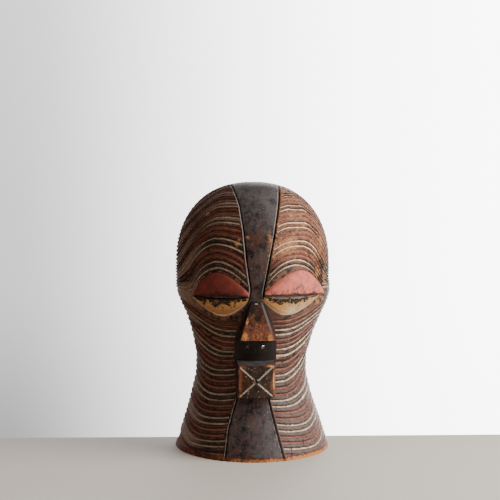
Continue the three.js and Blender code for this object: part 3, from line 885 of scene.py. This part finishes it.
def line_paint(on):
    """Where the paint of the lines has stayed on, and its colour."""
    small, middling, lit_side = on.small, on.middling, on.lit_side
    # Painted shade: darker copies of the clay and earth on the shaded left, where the lines also fade more
    faded_and_shaded = (middling * 0.6 + small * 0.5 + lit_side * (0.07 - on.brow * 0.2)
             + (1 - lit_side) * (1 - on.brow) * 0.14).rise(0.42, 0.72)
    clay = on.mix(faded_and_shaded, on.mix(lit_side, SHADED_CLAY, WHITE_CLAY), on.mix(lit_side, SHADED_FADED_CLAY, FADED_CLAY))
    earth = on.mix(faded_and_shaded, on.mix(lit_side, SHADED_EARTH, RED_EARTH), OLD_EARTH)
    # The paint shifts toward the lower, upward-facing wall of each groove, so the upper wall stays dark as
    # painted shade
    edge = on.ragged(on.fold + (on.tilt - 0.5) * 0.22, 0.34, 0.22, fine=0.22)
    edge = edge - on.reddish * (0.04 + on.brow * 0.22) + lit_side * (1 - on.brow) * 0.05
    kept = (on.broad * 0.6 + middling * 0.7 + small * 0.45 + (1 - on.reddish) * 0.05).rise(0.66, 0.82)
    painted = edge.rise(0.33, 0.21) * on.ragged(on.field, 0.5).rise(0.30, 0.65) * kept
    return painted, on.mix(on.reddish, clay, earth)


def worn_lines(on, painted, colour):
    """Brush streaks on the brow, painted shade in the grooves, rubbed crests, and how bare the wood is."""
    middling, lit_side = on.middling, on.lit_side
    streaky = lit_side * on.brow * on.lined
    colour = on.mix(on.brushed.rise(0.53, 0.63) * streaky * 0.6, colour, DARK_WOOD)
    colour = on.mix(on.brushed.rise(0.46, 0.37) * streaky * middling.rise(0.4, 0.6) * 0.7, colour, RAW_WOOD)
    # Painted shade on the upper, downward-facing wall of each groove, lighter at the lit foot
    shade = (on.fold - (on.tilt - 0.5) * 0.9).rise(0.34, 0.05) * (1 - painted) * on.field
    shade = shade * (1 - lit_side * on.near_foot * 0.35)
    colour = on.mix(shade * 0.75, colour, GROOVE_SHADE)
    crest = on.ragged(on.fold, 0.6).rise(0.85, 1.1) * (middling + on.broad - 0.2).rise(0.68, 0.9)
    colour = on.mix(crest * on.lined * 0.55, colour, BROWN_WOOD)
    bare = on.ragged(on.worn * 1.2, 1.5, 1.0, fine=0.6).rise(0.52, 0.86)
    bare_wood = on.mix((on.grain * 0.4 + on.small * 0.6).rise(0.36, 0.64), BROWN_WOOD, RAW_WOOD)
    return bare, on.mix(bare * (1 - painted * 0.6) * 0.8, colour, bare_wood)


def panel_colour(on):
    """Dark polished wood of the centre band and chin panel, with painted sheen at the band's top and the
    chin's lower right, and the black strip under the nose.
    """
    x, z, small, middling = on.x, on.z, on.small, on.middling
    streaks = on.noise(260, 4, 0.6, (1.0, 1.0, 0.22))
    # The band lighter towards its top as painted sheen
    grey = middling * 0.55 + streaks * 0.35 + on.broad * 0.4 + small * 0.3 + z.rise(0.275, 0.335) * 0.10
    brown = on.ragged(z.rise(0.335, 0.285) * 0.4 - z.rise(0.08, 0.06) * 0.08, 0.7, 1.7).rise(0.25, 0.65)
    panel = on.mix(brown * 0.8, on.mix(grey.rise(0.58, 1.06), SOOT, BAND_GREY), BAND_BROWN)
    # Painted bluish sheen on the lower right of the chin panel
    sheen = x.rise(-0.026, 0.028) * z.rise(0.088, 0.04) * (streaks * 0.8 + small * 0.4).rise(0.3, 0.8) * 0.6
    panel = on.mix(sheen, panel, BLUE_GREY_SHEEN)
    panel = on.mix(on.flecks.rise(0.655, 0.71) * small.rise(0.4, 0.6) * 0.8, panel, ARRIS)
    rubbed = on.ragged(on.worn, 0.9, 0.5).rise(0.25, 1.05)
    panel = on.mix(rubbed * 0.85, panel, on.mix(small.rise(0.35, 0.65), DARK_WOOD, BAND_WOOD))
    # The black strip under the nose: black paint that also stands in for the nose's shadow below its foot
    return on.mix(z.rise(0.156, 0.150) * z.rise(0.116, 0.122) * 0.85, panel, STRIP_BLACK)


def channel_shade(on):
    """How dark the painted shade in the channels beside the band and the chin panel is."""
    notched = on.z.rise(0.076, 0.082) + on.ragged(on.fold, 0.5).rise(0.42, 0.62) * on.x.rise(0.0, 0.01)
    thinner = on.z.rise(0.082, 0.076) * on.x.rise(0.0, 0.01) * 0.2
    depth = on.ragged(on.channel - thinner, 0.5).rise(0.45, 0.8)
    return depth * (notched + on.x.rise(0.01, 0.0) * 0.8).least(1.0)


def upper_lid_colour(on):
    """Pink lid, painted dark red as shade on the left eye and darker towards the slit there; sooty along the
    slit, scuffed, and grey where it is rubbed.
    """
    share, shaded_eye, middling = on.share, on.shaded_eye, on.middling
    lid = on.mix(shaded_eye, on.mix(middling.rise(0.35, 0.75), LID_PINK, LID_ROSE),
                 on.mix(middling.rise(0.3, 0.7), LID_SHADED_RED, LID_SHADED_MAROON))
    smudge = on.ragged(share * 1.35, -0.6, -1.3).rise(0.20, 0.08) * (1 - shaded_eye * 0.6)
    scuffs = on.flecks.rise(0.63, 0.68) * middling.rise(0.5, 0.6) * 0.75
    lid = on.mix(smudge.most(scuffs), lid, SOOT)
    # Painted shade: the shaded left lid darker towards the slit
    lid = on.mix(share.rise(0.35, 0.0) * shaded_eye * 0.7, lid, SOOT)
    bruise = on.ragged(share * 1.1, -1.5, -1.7, fine=-0.4).rise(0.34, 0.20)
    return on.mix(bruise * (1 - shaded_eye) * 0.6, lid, BRUISE)


def lower_lid_colour(on):
    """Cream or ochre lid with a pale rim, flaked to black along the slit; ochre also as painted shade on the
    left eye, and a painted highlight on the window side.
    """
    share, shaded_eye, small, middling = on.share, on.shaded_eye, on.small, on.middling
    # Ochre where the cream has aged, and as painted shade on the shaded left eye
    aged_and_shaded = (middling * 1.2 + small * 0.4 + on.broad * 0.5 + shaded_eye * 0.25
            + on.x.rise(0.05, 0.015) * 0.2 - 0.4).rise(0.42, 0.78)
    lid = on.mix(aged_and_shaded, CREAM, OCHRE)
    # Painted shade on the lower half of the shaded left lower lid
    lid = on.mix(shaded_eye * share.rise(0.45, 0.9) * 0.7, lid, OCHRE_IN_SHADE)
    rim = on.ragged(share, 0.12).rise(0.88, 0.94) * middling.rise(0.3, 0.5)
    lid = on.mix(rim * 0.85, lid, LID_RIM)
    flaked = on.ragged(share, 0.5, 1.5, fine=0.3).rise(0.45, 0.38)
    islands = (small * 0.7 + on.flecks * 0.4).rise(0.60, 0.64) * share.rise(0.12, 0.22)
    pits = (small * 0.5 + on.flecks * 0.5).rise(0.57, 0.61) * share.rise(0.9, 0.55)
    lid = on.mix((flaked * (1 - islands)).most(pits), lid, LID_DIRT)
    # Painted highlight along the lower lid's edge by the slit, on the window side
    lit_edge = share.rise(0.07, 0.10) * share.rise(0.20, 0.14) * on.lit_side * middling.rise(0.35, 0.5)
    return on.mix(lit_edge * 0.6, lid, ARRIS)


def foot_wear(on, colour):
    """Short cracks above the foot, and the red and bare wood along its edge."""
    for across, low, high in FOOT_CRACKS:
        crack = on.ragged(on.x - across, middling=0.004).size().rise(0.0007, 0.0002)
        crack = crack * on.z.rise(low, low + 0.002) * on.z.rise(high, high - 0.003) * on.y.rise(0.0, -0.01)
        colour = on.mix(crack * on.small.rise(0.3, 0.5), colour, SOOT)
    ragged_foot = on.ragged(on.z * -1.0, 0.006, 0.007)
    bright_foot = on.grain * 0.3 + on.middling * 0.9 + on.small * 0.5 + on.x.rise(-0.05, 0.06) * 0.42
    bright_foot = bright_foot.rise(0.80, 1.25) * ragged_foot.rise(-0.0045, -0.003)
    foot_wood = on.mix(bright_foot * (1 - on.brushed.rise(0.52, 0.66) * 0.6), FOOT_RED, FOOT_WOOD)
    return on.mix(ragged_foot.rise(-0.0062, -0.0045) * 0.95, colour, foot_wood)


def striped_finish():
    on = StripedSurface("striped_painted_wood", 0.13)
    painted, paint = line_paint(on)
    colour = on.mix(painted * (1 - on.reddish * on.brow * 0.3), ridge_colour(on), paint)
    bare, colour = worn_lines(on, painted, colour)
    colour = on.mix(on.ragged(on.centre, 0.5).rise(0.3, 0.7), colour, panel_colour(on))
    # Painted shade in the channels beside the band and the chin panel
    colour = on.mix(channel_shade(on), colour, CHANNEL_SHADE)
    # Pale arris lines: partly worn paint, partly painted highlight on the edges facing the window
    colour = on.mix(on.ragged(on.arris, 1.0, 0.7).rise(0.35, 0.8) * 0.85, colour, ARRIS)
    # Painted shade in the hollow beside the nose, at its right
    nose_shade = (on.x.rise(0.046, 0.026) * on.x.rise(0.0, 0.004)
                   * on.z.rise(0.160, 0.172) * on.z.rise(0.206, 0.196))
    colour = on.mix(nose_shade * (1 - painted) * (1 - on.centre) * 0.75, colour, CHARCOAL)
    colour = on.mix(on.upper, colour, upper_lid_colour(on))
    colour = on.mix(on.lower, colour, lower_lid_colour(on))
    roughness = on.ragged(0.46 + painted * 0.3 + (on.upper + on.lower) * 0.15 + bare * 0.1, 0.35)
    height = on.fine * 0.2 + on.grain * 0.35 + on.small * 0.5 + on.middling * 0.5 + painted * 0.25
    return on.finish(foot_wear(on, colour), roughness, height, 0.5, 0.0008)


def nose_finish():
    on = WornSurface("worn_nose_wood", 0.28)
    x, z, small, middling = on.x, on.z, on.small, on.middling
    edge, worn = on.layer("lines")[0], on.layer("wear")[0]
    dark = on.mix((middling * 0.6 + on.broad * 0.5).rise(0.4, 0.75), SOOT, CHARCOAL)
    low = z.rise(0.202, 0.155)
    brown = on.ragged(low * 0.9 + worn * 0.5, 0.9, 2.2, 0.8).rise(0.05, 1.0)
    rust = on.mix((small * 0.6 + on.grain * 0.4).rise(0.35, 0.65), NOSE_DARK_RUST, NOSE_RUST)
    colour = on.mix(brown, dark, rust)
    bare = on.ragged(worn + edge * 0.25 * low - 0.1, 0.8, 0.9).rise(0.35, 0.9)
    colour = on.mix(bare, colour, on.mix(small.rise(0.3, 0.65), NOSE_AMBER, NOSE_GOLD))
    flecks = on.noise(620, 2, 0.5).rise(0.62, 0.68) * brown * 0.6
    colour = on.mix(flecks, colour, NOSE_FLECK)
    soot_streak = on.noise(330, 4, 0.6, (1.0, 1.0, 0.2)) + small * 0.3
    colour = on.mix(soot_streak.rise(0.64, 0.78) * (1 - worn) * 0.75, colour, SOOT)

    # The two side planes: painted shade on the left one, and a painted blue-grey sheen where the window
    # lights the right one
    aside = (x - SIDE_PLACE).size() - NOSE_TOP_HALF / 1000 - (NOSE_TOP / 1000 - z) * NOSE_SPREAD
    aside = on.ragged(aside, 0.0016).rise(-0.0004, 0.0008)
    colour = on.mix(aside * x.rise(0.002, -0.002) * 0.92, colour, SOOT)
    grey_side = on.ragged(z, 0.01, 0.02).rise(0.160, 0.170) * x.rise(-0.002, 0.002)
    colour = on.mix(aside * grey_side * 0.85, colour, BLUE_GREY_SHEEN)
    nick = (x - NICK_PLACE[0]).size().rise(0.0026, 0.0012) * (z - NICK_PLACE[1]).size().rise(0.0008, 0.0003)
    colour = on.mix(nick * 0.6, colour, CHALK)
    roughness = on.ragged(0.34 + brown * 0.08, 0.35)
    return on.finish(colour, roughness, on.fine * 0.2 + small * 0.6 + middling * 0.6, 0.55, 0.0009)


def mouth_finish():
    on = WornSurface("worn_mouth_wood", 0.22)
    small, middling = on.small, on.middling
    edge, cut, reach, front = on.layer("lines")
    worn = on.layer("wear")[0]
    across = on.x - SIDE_PLACE
    up = on.z - (MOUTH_FOOT + MOUTH_TOP) / 2000
    left = (across * -1.0 - up.size()).rise(0.0, 0.002)
    dark = on.mix((middling * 0.7 + on.broad * 0.4).rise(0.4, 0.75), MOUTH_BLACK, MOUTH_BROWN)
    dark = on.mix(left * 0.8, dark, on.mix(middling.rise(0.35, 0.65), MOUTH_LEFT_DARK, MOUTH_LEFT_BROWN))
    # Painted grey sheen on the block's upward-facing top
    top_sheen = on.z.rise(0.1198, 0.1208) * on.ragged(on.y, 0.004).rise(-0.064, -0.058)
    dark = on.mix(top_sheen * middling.rise(0.25, 0.55) * 0.9, dark, MOUTH_SHEEN)
    brown = on.ragged(worn * 1.5, 0.6, 1.0).rise(0.35, 0.8)
    colour = on.mix(brown * 0.8, dark, MOUTH_RUST)
    bare = on.ragged(worn + edge * 0.10, 0.7, 0.5).rise(0.66, 0.95)
    colour = on.mix(bare, colour, on.mix(small.rise(0.35, 0.6), MOUTH_AMBER, MOUTH_BARE))

    # Chalk in the crossing cuts, except in the core of the one that rises to the right
    rising = (across * up).rise(-0.00001, 0.00001)
    core = cut.rise(0.80, 0.97) * rising * (0.5 + small)
    chalk = on.ragged(cut, 0.7, fine=0.3).rise(0.22, 0.42) * on.ragged(reach, 0.2).rise(0.08, 0.16)
    chalk = chalk * (middling * 0.6 + small * 0.5).rise(0.36, 0.48) * front * (1 - core.rise(0.4, 0.9))
    # The cuts darkened as painted shade before the chalk goes in
    colour = on.mix(cut.rise(0.3, 0.8) * front, colour, SOOT)
    colour = on.mix(chalk * 0.95, colour, on.mix(small.rise(0.3, 0.7), CHALK, OLD_CHALK))
    flecks = on.noise(500, 2, 0.5).rise(0.68, 0.72) * front * 0.8
    colour = on.mix(flecks, colour, CHALK)
    roughness = on.ragged(0.42 + chalk * 0.3, 0.35)
    height = on.fine * 0.2 + small * 0.6 + middling * 0.6 + chalk * 0.3
    return on.finish(colour, roughness, height, 0.55, 0.0009)


def hollow_finish():
    on = Surface("bare_hollow_wood")
    small = on.noise(120, 4, 0.6)
    fine = on.noise(700, 3, 0.6)
    grain = on.noise(300, 4, 0.6, (1.0, 1.0, 0.1))
    colour = on.mix(grain.rise(0.3, 0.7), HOLLOW_DARK, HOLLOW_PALE)
    colour = on.mix(small.rise(0.5, 0.75) * 0.6, colour, HOLLOW_STAIN)
    return on.finish(colour, 0.75 + (fine - 0.5) * 0.2, fine * 0.3 + grain * 0.6, 0.4, 0.0008)


def build_mask():
    body = skin_body()
    combine(body, nose_body(), "UNION")
    combine(body, mouth_body(), "UNION")
    combine(body, hollow_body(), "DIFFERENCE")
    for side in (-1, 1):
        combine(body, slit_cutter(side), "DIFFERENCE")
        combine(body, nostril_cutter(side), "DIFFERENCE")
    index = np.zeros(len(body.data.polygons), np.int32)
    body.data.polygons.foreach_get("material_index", index)
    body.data.materials.clear()
    for material in (striped_finish(), nose_finish(), mouth_finish(), hollow_finish()):
        body.data.materials.append(material)
    body.data.polygons.foreach_set("material_index", index)
    body.name = "carved_mask_wood"
    body.data.shade_smooth()
    body.data.set_sharp_from_angle(angle=SHARP_ANGLE)
    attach(body, "root")
    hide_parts("carved_mask")


def build_camera():
    data = bpy.data.cameras.new("view")
    data.lens = CAMERA_LENS
    data.sensor_width = CAMERA_SENSOR
    camera = new_object("view", data)
    ahead = (math.sin(CAMERA_TURN), math.cos(CAMERA_TURN))
    right = (math.cos(CAMERA_TURN), -math.sin(CAMERA_TURN))
    camera.location = (SIDE_PLACE - CAMERA_AWAY * ahead[0] - CAMERA_ASIDE * right[0],
                       RIM_PLACE - CAMERA_AWAY * ahead[1] - CAMERA_ASIDE * right[1], CAMERA_HEIGHT)
    camera.rotation_euler = (math.pi / 2, 0, -CAMERA_TURN)
    bpy.context.scene.camera = camera


# Lights: place and target in metres, width and height, watts, colour
LIGHTS = {"left_glow": ((-1.3, -0.55, 0.95), (0, 0, 0.26), 1.4, 2.4, (1.0, 0.78, 0.60)),
          "window": ((1.25, -0.55, 0.75), (0, 0, 0.2), 1.2, 38, (1.0, 0.985, 0.96))}


def area_light(name, place, target, size, power, colour):
    data = bpy.data.lights.new(name, "AREA")
    data.shape = "RECTANGLE"
    data.size = data.size_y = size
    data.energy = power
    data.color = colour
    light = new_object(name, data)
    light.location = place
    light.rotation_euler = (Vector(target) - Vector(place)).to_track_quat("-Z", "Y").to_euler()


# The floor, in metres: it ends a little behind the mask, where the pale wall's light starts
FLOOR_FRONT, FLOOR_BEHIND, FLOOR_SIDE = -1.6, 0.045, 1.8
FLOOR_DULL, FLOOR_CLEAN = (0.62, 0.56, 0.48), (0.66, 0.60, 0.52)


def build_surroundings():
    mesh = bpy.data.meshes.new("floor")
    front, back, side = FLOOR_FRONT, RIM_PLACE + FLOOR_BEHIND, FLOOR_SIDE
    corners = [(-side, front, 0), (side, front, 0), (side, back, 0), (-side, back, 0)]
    mesh.from_pydata(corners, [], [(0, 1, 2, 3)])
    on = Surface("pale_floor", 0.7, 0.3)
    cloud = on.noise(6, 3, 0.5)
    on.links.new(on.mix(cloud, FLOOR_DULL, FLOOR_CLEAN).socket, on.shader.inputs["Base Color"])
    mesh.materials.append(on.material)
    floor = new_object("floor", mesh)

    # What each direction sees of the room: a pale wall behind the mask, brighter at the right, else dim
    world = bpy.data.worlds.new("room_light")
    bpy.context.scene.world = world
    world.use_nodes = True
    tree = Tree(world.node_tree)
    _, (x, y, z) = tree.coordinates("Generated")
    behind = y.rise(0.82, 0.925)
    wall = 1.15 + x.rise(-0.2, 0.30) * 7.6 + z * 1.0 - z.rise(-0.02, -0.2) * 0.42
    room = 0.026 + x.rise(0.1, 1.0) * 0.5 + z.rise(0.3, 0.95) * 0.58
    sky = behind * wall + room * (1 - behind)
    tree.nodes["Background"].inputs["Color"].default_value = (1, 1, 1, 1)
    tree.links.new(sky.socket, tree.nodes["Background"].inputs["Strength"])


build_camera()
build_surroundings()
for light_name, values in LIGHTS.items():
    area_light(light_name, *values)
build_mask()
